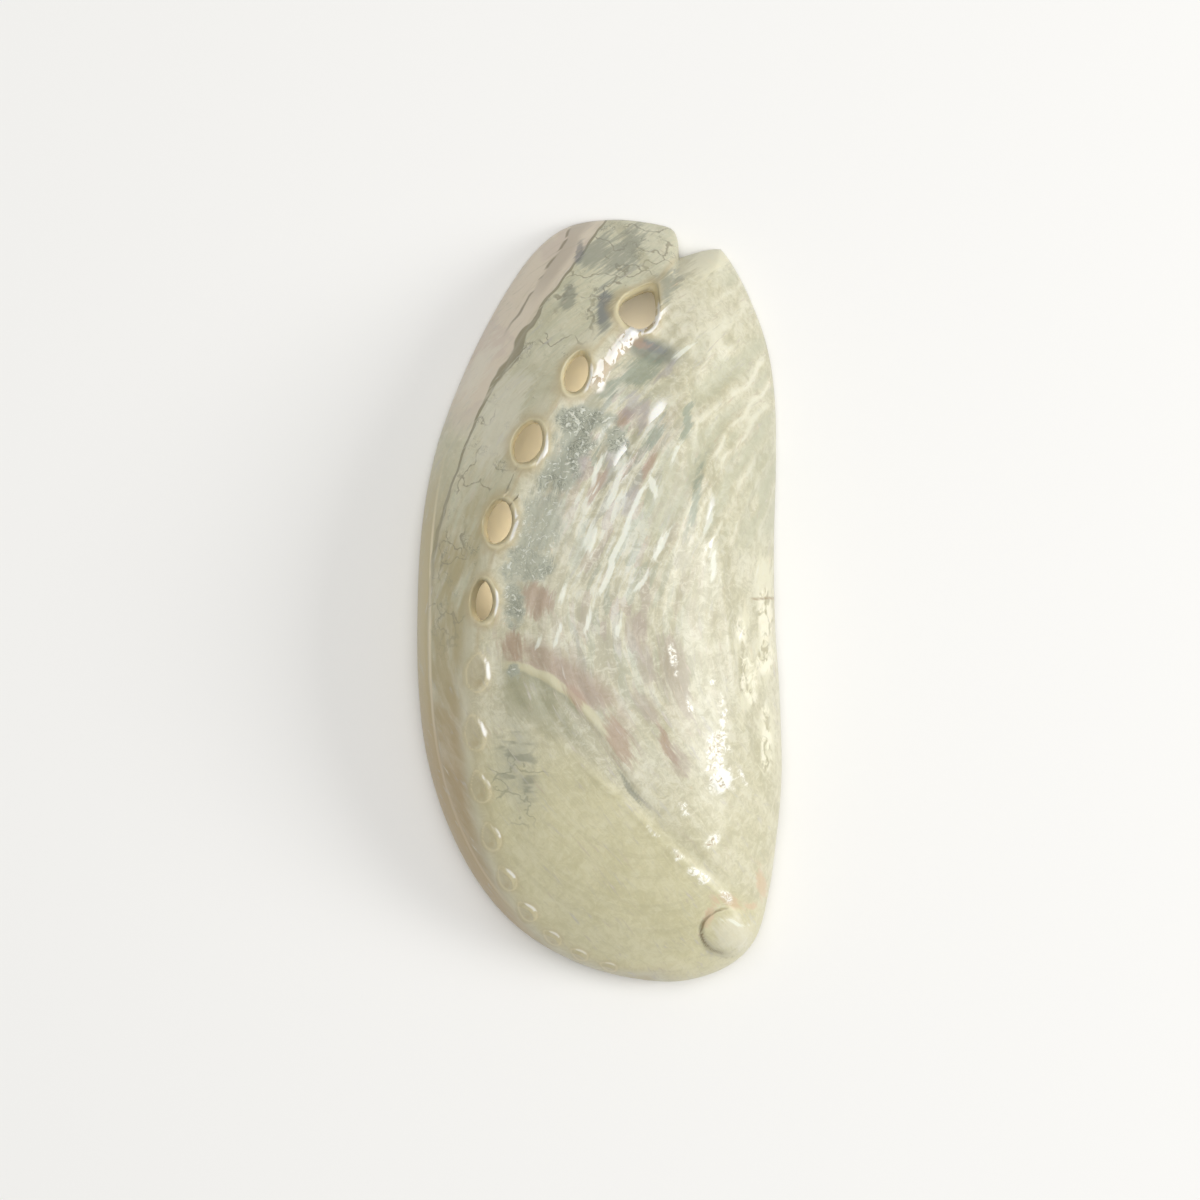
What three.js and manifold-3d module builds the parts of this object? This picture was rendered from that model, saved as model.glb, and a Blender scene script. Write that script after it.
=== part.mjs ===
// Donkey's-ear abalone shell, dehusked and polished down to its nacre, lying on its rim.
// One grown piece: a thin, ear-shaped dome with a low spire at its back right, a row of
// pores along its left flank (five open, nine sealed) and a flat shelf under its right edge.
// Millimetres. +Y is the front of the shell, +X its shelf side, +Z up; the rim lies on z = 0.

import * as THREE from "three";
import * as BufferGeometryUtils from "three/addons/utils/BufferGeometryUtils.js";
import Module from "manifold-3d";

// Driving dimensions
const DOME_HEIGHT = 15.2;
const WALL = 1.5;
const RIM_WIDTH = 1.3;
const SHELF_WIDTH = 3.8;
const CROWN = new THREE.Vector2(-1, -5);
const FULLNESS = 2.2;
const APEX = new THREE.Vector2(13.4, -34.5);
const SPIRE_RADIUS = 2.9;
const SPIRE_RISE = 1.1;
const SPIRE_LEAN = 0.6;
const KEEL_RISE = 0.5;
const KEEL_HALF_WIDTH = 1.9;
const NOTCH_DEPTH = 2.4;
const NOTCH_HALF_ANGLE = THREE.MathUtils.degToRad(3.9);

// How finely the dome is faceted
const SECTORS = 116;
const OUTER_RINGS = 17;
const INNER_RINGS = 12;

// The edge of the shell, seen from above, from the notch at the front round by the left
const EDGE = [
  [9.4, 38.6], [5.6, 39.6], [1.3, 40.0], [-3.2, 39.3], [-6.6, 36.9], [-9.7, 32.7],
  [-12.8, 27.1], [-15.6, 20.7], [-17.6, 14.4], [-18.8, 7.0], [-19.2, -1.0], [-19.1, -9.0],
  [-18.2, -16.5], [-16.1, -23.4], [-12.8, -29.7], [-8.5, -34.5], [-3.0, -37.8],
  [3.2, -39.7], [8.6, -40.0], [13.3, -38.6], [16.3, -35.7], [17.7, -31.0], [18.5, -25.5],
  [19.1, -18.5], [18.9, -10.0], [18.4, -2.0], [18.3, 6.0], [18.5, 14.0], [18.4, 21.0],
  [17.6, 26.5], [15.9, 31.4], [13.9, 35.3], [12.2, 37.3],
];

// The pores, youngest first: centre, half width, half length and lean to the right
const OPEN_PORES = [
  { x: 4.3, y: 30.6, halfWidth: 1.8, halfLength: 2.35, lean: 30 },
  { x: -2.4, y: 23.5, halfWidth: 1.1, halfLength: 2.05, lean: 16 },
  { x: -7.3, y: 16.1, halfWidth: 1.45, halfLength: 2.4, lean: 22 },
  { x: -10.3, y: 8.1, halfWidth: 1.4, halfLength: 2.5, lean: 14 },
  { x: -11.9, y: -0.1, halfWidth: 0.95, halfLength: 2.1, lean: 5 },
];
const SEALED_PORES = [
  { x: -12.6, y: -7.5, halfWidth: 1.4, halfLength: 2.0, lean: 6 },
  { x: -12.9, y: -13.7, halfWidth: 1.2, halfLength: 1.9, lean: -5 },
  { x: -12.4, y: -19.3, halfWidth: 1.1, halfLength: 1.7, lean: -12 },
  { x: -11.3, y: -24.5, halfWidth: 1.0, halfLength: 1.5, lean: -18 },
  { x: -9.7, y: -28.9, halfWidth: 0.9, halfLength: 1.4, lean: -30 },
  { x: -7.6, y: -32.4, halfWidth: 0.8, halfLength: 1.2, lean: -42 },
  { x: -5.0, y: -35.2, halfWidth: 0.7, halfLength: 1.1, lean: -50 },
  { x: -2.2, y: -37.0, halfWidth: 0.6, halfLength: 1.0, lean: -60 },
  { x: 0.9, y: -38.3, halfWidth: 0.5, halfLength: 0.9, lean: -70 },
];
const SEALED_DEPTH = 0.45;

// The row of pores is a logarithmic spiral about the apex: its reach there is measured
// straight ahead of the apex, and it shrinks by ROW_SHRINK for every radian turned
const ROW_REACH = 75;
const ROW_SHRINK = 0.9;
const ROW_SLANT = Math.cos(Math.atan(ROW_SHRINK));

// How fast the dome falls to the rim: steep at the left and back, gentler right and front
function steepness(direction) {
  const right = Math.max(0, direction.x);
  const front = Math.max(0, direction.y);
  return 0.5 + 0.12 * right ** 2 + 0.25 * front ** 2;
}

// The raised keel that carries the pores, as a ridge across the spiral
function keelRise(point) {
  const arm = point.clone().sub(APEX);
  const turned = Math.atan2(-arm.x, arm.y);
  const row = ROW_REACH * Math.exp(-ROW_SHRINK * turned);
  const across = ((arm.length() - row) * ROW_SLANT) / KEEL_HALF_WIDTH;
  return KEEL_RISE * Math.exp(-across * across);
}

// How far the edge is drawn in at the notch, the youngest pore that is still forming
function notchPull(direction, reach) {
  const notch = new THREE.Vector2(...EDGE[0]).sub(CROWN).angle();
  const off = Math.abs(direction.angle() - notch) / NOTCH_HALF_ANGLE;
  return NOTCH_DEPTH * Math.max(0, 1 - off) * reach ** 12;
}

// A point of one face of the shell: reach runs from 0 at the crown to 1 at the edge.
// inset narrows the face at its edge and drop lowers its crown, for the inner face.
function facePoint(edgePoint, reach, inset, drop) {
  const arm = edgePoint.clone().sub(CROWN);
  const direction = arm.clone().normalize();
  const run = arm.length() * reach - inset * reach ** 4 - notchPull(direction, reach);
  const point = direction.clone().multiplyScalar(run).add(CROWN);
  const fall = (1 - reach ** FULLNESS) ** steepness(direction);
  const keel = keelRise(point) * Math.min(1, 3 * fall);
  return new THREE.Vector3(point.x, point.y, (DOME_HEIGHT - drop) * fall + keel);
}

// Rim width on the way round: a narrow lip, and the flat shelf along the right side
function rimWidth(edgePoint) {
  const direction = edgePoint.clone().sub(CROWN).normalize();
  const onShelf = THREE.MathUtils.smoothstep(direction.x, 0.4, 0.8);
  return THREE.MathUtils.lerp(RIM_WIDTH, SHELF_WIDTH, onShelf);
}

// The shell without its pores: outer face, inner face and the flat rim between them
function makeShell() {
  const outline = EDGE.map(([x, y]) => new THREE.Vector3(x, y, 0));
  const curve = new THREE.CatmullRomCurve3(outline, true);
  const edge = curve.getSpacedPoints(SECTORS).slice(0, SECTORS);
  const edgePoints = edge.map((p) => new THREE.Vector2(p.x, p.y));
  const vertices = [];
  const indices = [];

  // One face as rings round a pole; returns the index of its pole
  const addFace = (rings, inset, drop) => {
    const pole = vertices.length / 3;
    vertices.push(...facePoint(edgePoints[0], 0, 0, drop));
    for (let ring = 1; ring <= rings; ring += 1) {
      const reach = Math.sin((Math.PI / 2) * (ring / rings));
      for (const p of edgePoints) vertices.push(...facePoint(p, reach, inset(p), drop));
    }
    return pole;
  };
  const at = (pole, ring, sector) => pole + 1 + (ring - 1) * SECTORS + (sector % SECTORS);

  const outer = addFace(OUTER_RINGS, () => 0, 0);
  const inner = addFace(INNER_RINGS, rimWidth, WALL);

  // The edge runs counter-clockwise seen from above, so the outer face turns that way
  const stitch = (pole, rings, inside) => {
    const push = (a, b, c) => indices.push(...(inside ? [a, c, b] : [a, b, c]));
    for (let sector = 0; sector < SECTORS; sector += 1) {
      push(pole, at(pole, 1, sector), at(pole, 1, sector + 1));
      for (let ring = 1; ring < rings; ring += 1) {
        const a = at(pole, ring, sector);
        const b = at(pole, ring + 1, sector);
        const c = at(pole, ring + 1, sector + 1);
        const d = at(pole, ring, sector + 1);
        push(a, b, c);
        push(a, c, d);
      }
    }
  };
  stitch(outer, OUTER_RINGS, false);
  stitch(inner, INNER_RINGS, true);
  for (let sector = 0; sector < SECTORS; sector += 1) {
    const a = at(outer, OUTER_RINGS, sector);
    const b = at(inner, INNER_RINGS, sector);
    const c = at(inner, INNER_RINGS, sector + 1);
    const d = at(outer, OUTER_RINGS, sector + 1);
    indices.push(a, b, c, a, c, d);
  }

  const geometry = new THREE.BufferGeometry();
  geometry.setAttribute("position", new THREE.Float32BufferAttribute(vertices, 3));
  geometry.setIndex(indices);
  return geometry;
}

// A cutter for an open pore: an upright almond prism right through the dome
function makePoreCutter(pore) {
  const shape = new THREE.Shape();
  shape.moveTo(0, pore.halfLength);
  const bulge = pore.halfWidth * 1.3;
  const shoulder = pore.halfLength * 0.6;
  shape.bezierCurveTo(-bulge, shoulder, -bulge, -shoulder, 0, -pore.halfLength);
  shape.bezierCurveTo(bulge, -shoulder, bulge, shoulder, 0, pore.halfLength);
  const geometry = new THREE.ExtrudeGeometry(shape, {
    depth: 2 * DOME_HEIGHT,
    curveSegments: 10,
    bevelEnabled: false,
  });
  geometry.rotateZ(-THREE.MathUtils.degToRad(pore.lean));
  geometry.translate(pore.x, pore.y, 1);
  return geometry;
}

// Lays a shape made about +Z on the outer face where a vertical line through (x, y) meets it;
// a lean of 1 sets it square to the face and 0 leaves it upright
function layOnFace(geometry, mesh, x, y, lean) {
  const up = new THREE.Vector3(0, 0, 1);
  const ray = new THREE.Raycaster(new THREE.Vector3(x, y, 2 * DOME_HEIGHT), up.clone().negate());
  const [{ point, face }] = ray.intersectObject(mesh);
  const square = new THREE.Quaternion().setFromUnitVectors(up, face.normal);
  geometry.applyQuaternion(new THREE.Quaternion().slerp(square, lean));
  geometry.translate(point.x, point.y, point.z);
  return geometry;
}

// A cutter for a sealed pore: a flattened ball that leaves a shallow dish in the face
function makeDishCutter(pore, mesh) {
  const geometry = new THREE.SphereGeometry(1, 16, 8);
  geometry.scale(pore.halfWidth, pore.halfLength, SEALED_DEPTH);
  geometry.rotateZ(-THREE.MathUtils.degToRad(pore.lean));
  return layOnFace(geometry, mesh, pore.x, pore.y, 1);
}

// The spire: the low knob of the first whorls, set off by a small step all round
function makeSpire(mesh) {
  const profile = [[0, -WALL / 2], [1, -WALL / 2], [0.97, 0.35], [0.72, 0.7], [0.4, 0.92], [0, 1]];
  const points = profile.map(([out, up], step) => {
    const height = step < 2 ? up : up * SPIRE_RISE;
    return new THREE.Vector2(out * SPIRE_RADIUS, height);
  });
  const geometry = new THREE.LatheGeometry(points, 20);
  geometry.rotateX(Math.PI / 2);
  return layOnFace(geometry, mesh, APEX.x, APEX.y, SPIRE_LEAN);
}

const wasm = await Module();
wasm.setup();

// A three.js geometry as a solid that can be cut
function toSolid(geometry) {
  const bare = geometry.clone();
  bare.deleteAttribute("normal");
  bare.deleteAttribute("uv");
  const merged = BufferGeometryUtils.mergeVertices(bare);
  return new wasm.Manifold(new wasm.Mesh({
    numProp: 3,
    vertProperties: merged.attributes.position.array,
    triVerts: new Uint32Array(merged.index.array),
  }));
}

// A cut solid back as a three.js geometry
function toGeometry(solid) {
  const mesh = solid.getMesh();
  const geometry = new THREE.BufferGeometry();
  geometry.setAttribute("position", new THREE.BufferAttribute(mesh.vertProperties, 3));
  geometry.setIndex(new THREE.BufferAttribute(mesh.triVerts, 1));
  geometry.computeVertexNormals();
  return geometry;
}

const nacre = new THREE.MeshStandardMaterial({
  name: "polished nacre",
  color: "#c4bfa6",
  roughness: 0.28,
  metalness: 0,
});

const plainShell = new THREE.Mesh(makeShell(), nacre);
let shellSolid = toSolid(plainShell.geometry).add(toSolid(makeSpire(plainShell)));
for (const pore of OPEN_PORES) {
  shellSolid = shellSolid.subtract(toSolid(makePoreCutter(pore)));
}
for (const pore of SEALED_PORES) {
  shellSolid = shellSolid.subtract(toSolid(makeDishCutter(pore, plainShell)));
}

const shell = new THREE.Mesh(toGeometry(shellSolid), nacre);
shell.name = "shell";

const abaloneShell = new THREE.Group();
abaloneShell.name = "abalone shell";
abaloneShell.add(shell);

export default abaloneShell;
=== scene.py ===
"""A donkey's-ear abalone shell, ground and polished down to its nacre, lying on its rim.

The shell is one grown piece. Its back is a dome over an ear-shaped edge: along every ray from
the crown the height falls as (1 - reach^fullness)^steepness, where reach runs from 0 at the
crown to 1 at the edge. Everything else is laid on that dome: a keel with its row of pores, the
folds where growth paused, the grain of the nacre and the coiled spire. Shapes are worked out in
millimetres over the frame's plan, and go into the mesh in metres.
"""
import math
import bpy
import numpy as np
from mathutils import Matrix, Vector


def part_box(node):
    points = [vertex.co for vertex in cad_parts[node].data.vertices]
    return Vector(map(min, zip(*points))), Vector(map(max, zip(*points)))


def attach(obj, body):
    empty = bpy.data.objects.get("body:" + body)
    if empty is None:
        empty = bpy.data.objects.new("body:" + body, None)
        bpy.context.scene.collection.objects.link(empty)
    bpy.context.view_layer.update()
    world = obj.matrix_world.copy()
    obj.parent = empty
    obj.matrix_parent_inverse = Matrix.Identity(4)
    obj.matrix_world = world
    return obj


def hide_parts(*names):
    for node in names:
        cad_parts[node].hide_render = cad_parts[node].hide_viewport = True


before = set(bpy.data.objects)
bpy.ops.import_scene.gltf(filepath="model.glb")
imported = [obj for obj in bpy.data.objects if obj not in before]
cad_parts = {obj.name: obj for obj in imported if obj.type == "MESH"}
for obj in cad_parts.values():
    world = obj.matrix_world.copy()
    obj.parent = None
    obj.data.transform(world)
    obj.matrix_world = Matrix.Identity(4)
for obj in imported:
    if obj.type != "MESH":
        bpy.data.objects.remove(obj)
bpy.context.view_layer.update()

MM = 0.001
cad_low, cad_high = (np.array(corner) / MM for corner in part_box("shell"))


# ---------------------------------------------------------------- the dome and its edge
# The ear-shaped edge is seen from above, starting at the notch and going round by the left
# flank, the back and the shelf side. The dome rises over it: steep at the left and the back,
# where the shell wraps under, and gentler at the right and the front.

EDGE = np.array([
    (9.4, 38.6), (5.6, 39.6), (1.3, 40.0), (-3.2, 39.3), (-6.6, 36.9), (-9.7, 32.7),
    (-12.8, 27.1), (-15.6, 20.7), (-17.6, 14.4), (-18.8, 7.0), (-19.2, -1.0), (-19.1, -9.0),
    (-18.2, -16.5), (-16.1, -23.4), (-12.8, -29.7), (-8.5, -34.5), (-3.0, -37.8),
    (3.2, -39.7), (8.6, -40.0), (13.3, -38.6), (16.3, -35.7), (17.7, -31.0), (18.5, -25.5),
    (19.1, -18.5), (18.9, -10.0), (18.4, -2.0), (18.3, 6.0), (18.5, 14.0), (18.4, 21.0),
    (17.6, 26.5), (15.9, 31.4), (13.9, 35.3), (12.2, 37.3),
])
CROWN = np.array([-1.0, -5.0])
FULLNESS = 2.2
WALL = 1.5
RIM_WIDTH = 1.3
SHELF_WIDTH = 3.8
RIM_ROUNDING = 0.45
DOME_HEIGHT = cad_high[2] - cad_low[2] - RIM_ROUNDING
NOTCH = np.array([8.3, 36.0])
NOTCH_DEPTH = 2.9
NOTCH_ANGLES = np.radians([5.3, 4.0])


def ease(value, start, end):
    """0 up to start, 1 from end on, and a smooth cubic step between them."""
    t = np.clip((value - start) / (end - start), 0, 1)
    return t * t * (3 - 2 * t)


def round_curve(points, steps=24):
    """Closed Catmull-Rom curve: each span is the cubic that leaves a point parallel to the
    line between its two neighbours."""
    before, after, beyond = (np.roll(points, shift, axis=0) for shift in (1, -1, -2))
    t = (np.arange(steps) / steps)[None, :, None]
    before, here, after, beyond = (p[:, None, :] for p in (before, points, after, beyond))
    curve = 0.5 * (
        2 * here + (after - before) * t
        + (2 * before - 5 * here + 4 * after - beyond) * t**2
        + (3 * here - before - 3 * after + beyond) * t**3
    )
    return curve.reshape(-1, 2)


def polar_table(centre):
    """Bearing and reach of the edge from a point inside it, sorted by bearing."""
    arm = round_curve(EDGE) - centre
    bearing = np.arctan2(arm[:, 1], arm[:, 0])
    order = np.argsort(bearing)
    return bearing[order], np.hypot(*arm.T)[order]


CROWN_TABLE = polar_table(CROWN)


def from_crown(x, y):
    """Bearing from the crown, the edge's distance that way, and reach: 0 crown to 1 edge."""
    bearing = np.arctan2(y - CROWN[1], x - CROWN[0])
    edge = np.interp(bearing, *CROWN_TABLE, period=2 * math.pi)
    return bearing, edge, np.hypot(x - CROWN[0], y - CROWN[1]) / edge


def dome_fall(x, y):
    """The dome's height as a share of the crown's: (1 - reach^fullness)^steepness."""
    bearing, _, reach = from_crown(x, y)
    right, front = np.maximum(0, np.cos(bearing)), np.maximum(0, np.sin(bearing))
    steepness = 0.5 + 0.12 * right**2 + 0.25 * front**2
    return (1 - np.clip(reach, 0, 1) ** FULLNESS) ** steepness


def dome_normal(x, y, step=0.02):
    """Outward unit normals of the dome, from its slope a short step either way."""
    slope_x = (dome_fall(x + step, y) - dome_fall(x - step, y)) * DOME_HEIGHT / (2 * step)
    slope_y = (dome_fall(x, y + step) - dome_fall(x, y - step)) * DOME_HEIGHT / (2 * step)
    normal = np.stack([-slope_x, -slope_y, np.ones_like(slope_x)], axis=-1)
    return normal / np.linalg.norm(normal, axis=-1, keepdims=True)


def notch_pull(x, y):
    """How far, towards the crown, the plan is drawn in at the notch: the right side of the
    notch is straight, and on the left the edge bulges round into it."""
    bearing, _, reach = from_crown(x, y)
    off = bearing - math.atan2(*(NOTCH - CROWN)[::-1])
    right = np.clip(1 + off / NOTCH_ANGLES[0], 0, 1)
    left = np.clip(1 - off / NOTCH_ANGLES[1], 0, 1) ** 5
    pull = NOTCH_DEPTH * np.where(off < 0, right, left) * np.clip(reach, 0, 1) ** 12
    return np.stack([-np.cos(bearing) * pull, -np.sin(bearing) * pull], axis=-1)


# ---------------------------------------------------------------- how the shell grew
# The animal added to the edge and turned as it went, so every older edge is the same ear
# shape, smaller, turned about the apex of the spire. Pores, folds, ribs and grain all follow
# from that: a place on the shell has an age, and a distance across the row of pores.

APEX = np.array([13.4, -34.5])
SHRINK = 0.9  # share of its distance from the apex that the row loses with each radian of turn
PORES = np.array([
    # x, y, half width, half length, lean to the right in degrees, taper towards the front
    (4.2, 30.4, 1.85, 2.45, 31, 0.45),
    (-2.4, 23.4, 1.20, 2.10, 16, 0.10),
    (-7.3, 16.2, 1.50, 2.25, 22, 0.05),
    (-10.3, 8.0, 1.40, 2.30, 12, 0.05),
    (-11.9, -0.1, 1.05, 2.10, 4, 0.10),
    (-12.6, -7.5, 1.15, 1.90, 4, 0.10),
    (-12.9, -13.7, 1.00, 1.80, -8, 0.25),
    (-12.4, -19.3, 0.90, 1.60, -14, 0.30),
    (-11.3, -24.5, 0.85, 1.40, -18, 0.30),
    (-9.7, -28.9, 0.75, 1.30, -30, 0.30),
    (-7.6, -32.4, 0.68, 1.15, -42, 0.30),
    (-5.0, -35.2, 0.55, 1.00, -50, 0.30),
    (-2.2, -37.0, 0.46, 0.90, -60, 0.30),
    (0.9, -38.3, 0.40, 0.80, -70, 0.30),
])
OPEN_PORES = 5


def from_apex(x, y):
    """Distance from the apex, and the turn to the left of straight ahead, in radians."""
    turn = np.arctan2(APEX[0] - x, y - APEX[1])
    return np.hypot(x - APEX[0], y - APEX[1]), np.where(turn < -2.2, turn + 2 * math.pi, turn)


ROW_CURVE = np.polyfit(from_apex(*PORES[:, :2].T)[1], np.log(from_apex(*PORES[:, :2].T)[0]), 4)
ROW_SLANT = math.cos(math.atan(SHRINK))


def across_row(x, y):
    """Millimetres across the row of pores, positive on the left flank: the distance from the
    apex less the row's own at that turn, times the cosine of the row's slant."""
    distance, turn = from_apex(x, y)
    row = np.exp(np.polyval(ROW_CURVE, np.clip(turn, 0, 2.1)))
    return (distance - row) * ROW_SLANT


def noise(u, v, seed):
    """Smooth noise from -1 to 1: random heights on whole-number points, eased between."""
    table = np.random.default_rng(seed).uniform(-1, 1, (256, 256))
    column, row = np.floor(u).astype(int), np.floor(v).astype(int)
    s, t = ease(u - column, 0, 1), ease(v - row, 0, 1)
    corner = [[table[(column + i) % 256, (row + j) % 256] for j in (0, 1)] for i in (0, 1)]
    near = corner[0][0] * (1 - t) + corner[0][1] * t
    far = corner[1][0] * (1 - t) + corner[1][1] * t
    return near * (1 - s) + far * s


# The grain of the nacre leans by a different angle at each height up the shell. Sliding
# every place sideways by the sum of those leans gives a number that is the same all along
# one streak of grain.
GRAIN_HEIGHTS = (-40, -20, -12, -4, 2, 12, 24, 40)
GRAIN_LEANS = (-42, -38, -32, -6, 20, 26, 48, 56)


def across_grain(x, y):
    """Millimetres across the grain: x less the running sum of the grain's lean."""
    heights = np.linspace(-42, 42, 337)
    lean = np.tan(np.radians(np.interp(heights, GRAIN_HEIGHTS, GRAIN_LEANS)))
    slide = np.concatenate([[0], np.cumsum((lean[1:] + lean[:-1]) / 2 * np.diff(heights))])
    return x - np.interp(y, heights, slide)


def in_pore(pore, x, y):
    """Place by a pore: its share, which is 1 on the almond outline, in the pore's leaning axes;
    how many millimetres it is clear of that outline; and how squarely it is on the right."""
    lean = math.radians(pore[4])
    across = (x - pore[0]) * math.cos(lean) - (y - pore[1]) * math.sin(lean)
    along = (x - pore[0]) * math.sin(lean) + (y - pore[1]) * math.cos(lean)
    distance = np.hypot(across, along)
    width = pore[2] * (1 - pore[5] * np.clip(along / pore[3], -1, 1))
    share = np.hypot(across / width, np.abs(along / pore[3]) ** 0.85)
    clear = distance * (1 - 1 / np.maximum(share, 1e-3))
    return share, clear, across / np.maximum(distance, 1e-6)


# ---------------------------------------------------------------- relief on the dome
# Growth pauses left folds that run from the row of pores down to the spire, the mantle left
# ribs along the grain, and grinding bared pits and wrinkles where the layers under the nacre
# come near the surface. Every height here is in millimetres off the dome.

FLANK_FOLD = [(0.2, 39.4), (-3.3, 34.2), (-7.4, 28.5), (-11.1, 21.9), (-14.6, 14.5), (-16.3, 8.8)]
FLANK_FOLD += [(-17.5, 2.0), (-17.9, -4.1), (-17.5, -12.0), (-16.2, -19.0)]
FRONT_CREST = [(5.9, 29.6), (4.3, 28.2), (2.6, 26.8), (1.3, 25.3), (0.4, 23.6), (-0.3, 21.8)]
LATE_FOLD = [(8.4, 24.7), (10.5, 18.4), (11.5, 12.6), (12.1, 5.3), (13.1, 0.0)]
LATE_FOLD += [(15.0, -10.5), (15.7, -15.8)]
PALE_LINE = [(-9.8, -6.8), (-5.7, -8.0), (-1.7, -11.1), (1.1, -14.4), (3.1, -18.0), (5.0, -21.3)]
SPIRE_LINE = [(-8.8, -12.1), (-5.8, -14.0), (-3.1, -15.7), (0.9, -19.5), (4.3, -22.8)]
SPIRE_LINE += [(5.9, -24.5), (9.4, -28.0), (12.9, -30.7)]
SPIRE_RADIUS = 2.9
SPIRE_RISE = 1.25
KEEL_HEIGHT = 0.5
KEEL_WIDTH = 1.9


def spot(x, y, centre_x, centre_y, wide, long, lean=0):
    """A soft oval: 1 at its centre, falling as a bell curve in its own leaning axes."""
    angle = math.radians(lean)
    across = (x - centre_x) * math.cos(angle) - (y - centre_y) * math.sin(angle)
    along = (x - centre_x) * math.sin(angle) + (y - centre_y) * math.cos(angle)
    return np.exp(-((across / wide) ** 2) - (along / long) ** 2)


def beside(line, x, y, degree=3):
    """Distance across a line, and 1 along it fading to 0 past its ends. The line is the
    smooth curve of the given degree nearest its points; right or above is positive."""
    points = np.array(line)
    tall = np.ptp(points[:, 1]) > np.ptp(points[:, 0])
    run, off = (points[:, 1], points[:, 0]) if tall else (points[:, 0], points[:, 1])
    along, across = (y, x) if tall else (x, y)
    curve = np.polyfit(run, off, degree)
    slope = np.polyval(np.polyder(curve), along)
    fade = ease(along, run.min() - 1.5, run.min() + 1.5)
    fade = fade * (1 - ease(along, run.max() - 1.5, run.max() + 1.5))
    return (across - np.polyval(curve, along)) / np.sqrt(1 + slope**2), fade


def bell(value, width):
    """1 at nought, falling as a bell curve of that half width."""
    return np.exp(-((value / width) ** 2))


def keel(x, y):
    """Ridge that carries the pores, as a bell curve across the row."""
    return KEEL_HEIGHT * bell(across_row(x, y), KEEL_WIDTH)


def folds(x, y):
    """Growth folds: a step down at the left flank's, a step at the latest pause on the
    right, a thin ridge at the pale line, and a ridge with a groove above it to the spire."""
    wander = 0.25 * noise(x / 2.1, y / 2.1, 3)
    flank, flank_fade = beside(FLANK_FOLD, x, y, 4)
    late, late_fade = beside(LATE_FOLD, x, y)
    pale, pale_fade = beside(PALE_LINE, x, y)
    spire, spire_fade = beside(SPIRE_LINE, x, y)
    rise = flank_fade * (0.16 * ease(flank + wander, -0.25, 0.2) - 0.1 * bell(flank + wander, 0.3))
    rise = rise - 0.28 * late_fade * ease(late + wander, -0.5, 0.7)
    rise = rise + 0.1 * late_fade * bell(late + wander + 0.3, 0.5)
    rise = rise + 0.12 * pale_fade * bell(pale + wander / 2, 0.45)
    to_spire = spire_fade * ease(x, -6, 6)
    beads = 1 + 0.9 * noise(x / 1.1, y / 1.1, 12)
    rise = rise + to_spire * (0.12 * beads * bell(spire + wander, 0.4) - 0.2 * bell(spire - 1.2, 0.8))
    return rise


def front_crest(x, y):
    """The crumpled crest right of the two youngest pores, and the hollow behind it."""
    crest, fade = beside(FRONT_CREST, x, y, 2)
    crumple = 1 + 0.8 * noise(x / 0.8, y / 0.8, 11)
    rise = fade * crumple * (0.36 * bell(crest, 0.55) + 0.16 * bell(crest - 1.0, 0.35))
    return rise - 0.6 * spot(x, y, 5.0, 25.0, 2.4, 3.4, -75)


def ripples(x, y):
    """Soft ripples on the shelf side of the front: 0 along each crest, 1 in the troughs."""
    grain = across_grain(x, y)
    return np.abs(noise(grain / 2.2, y / 12, 24) + 0.35 * noise(x / 1.7, y / 2.4, 25))


def rippled(x, y):
    """Where the ripples are: 1 over the shelf side of the front."""
    return ease(x - 0.35 * (y - 10), 2, 7) * ease(y, 2, 10)


def ribs(x, y):
    """Ribs along the grain right of the row, about 2 mm apart, broken up along their run,
    with finer ones between; they die away over the smooth back of the body."""
    grain, row = across_grain(x, y), across_row(x, y)
    spire, _ = beside(SPIRE_LINE, x, y)
    where = (1 - ease(row, -4.5, -1.5)) * ease(spire, -0.5, 2.5) * (1 - 0.6 * ease(x, 6, 11))
    where = where * (1 - 0.75 * spot(x, y, 9, -5, 6, 12))
    broad = noise(grain / 1.5, y / 9, 21) + 0.5 * noise(grain / 0.7, y / 5, 22)
    fine = noise(grain / 0.33, y / 2.6, 23)
    return where * (0.12 * broad + 0.028 * fine) - 0.55 * ripples(x, y) * rippled(x, y)


def swells(x, y):
    """Broad unevenness of the whole back, ground by hand: 6 to 9 mm from swell to swell."""
    return 0.16 * noise(x / 6.5 + 3, y / 9 + 3, 31) + 0.05 * noise(x / 2.6, y / 3.4, 32)


def bared(x, y):
    """Where the grinding bared rougher layers: 1 on the frosted patches beside the row."""
    patches = [
        (-1.8, 19.0, 3.0, 1.2, 0), (-2.6, 16.6, 2.3, 1.8, 0), (1.9, 16.2, 1.1, 2.0, -20),
        (-4.0, 13.2, 2.2, 1.8, 20), (-6.4, 8.4, 2.5, 3.4, 8), (-7.4, 3.6, 2.8, 1.8, 0),
        (-9.0, -0.6, 1.4, 2.4, 0), (-8.9, -7.4, 0.8, 0.9, 0),
    ]
    ragged = 0.95 + 0.4 * noise(x / 1.0, y / 1.0, 41) + 0.35 * noise(x / 0.35, y / 0.35, 42)
    cover = sum(spot(x, y, *patch) for patch in patches)
    return ease(cover * ragged, 0.2, 0.75)


def wrinkled(x, y):
    """Where the shelf side is wrinkled and milky: 1 along the middle of the right edge."""
    patches = [
        (17.0, -0.6, 1.2, 3.6, 0), (14.7, -3.6, 0.9, 2.4, -8), (15.4, -8.4, 0.9, 3.0, -8),
        (17.3, -5.8, 1.0, 2.6, 0), (17.3, -14.6, 0.9, 3.6, 0),
    ]
    ragged = 0.8 + 0.5 * noise(x / 1.6, y / 2.2, 51)
    return ease(sum(spot(x, y, *patch) for patch in patches) * ragged, 0.25, 0.7)


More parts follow.
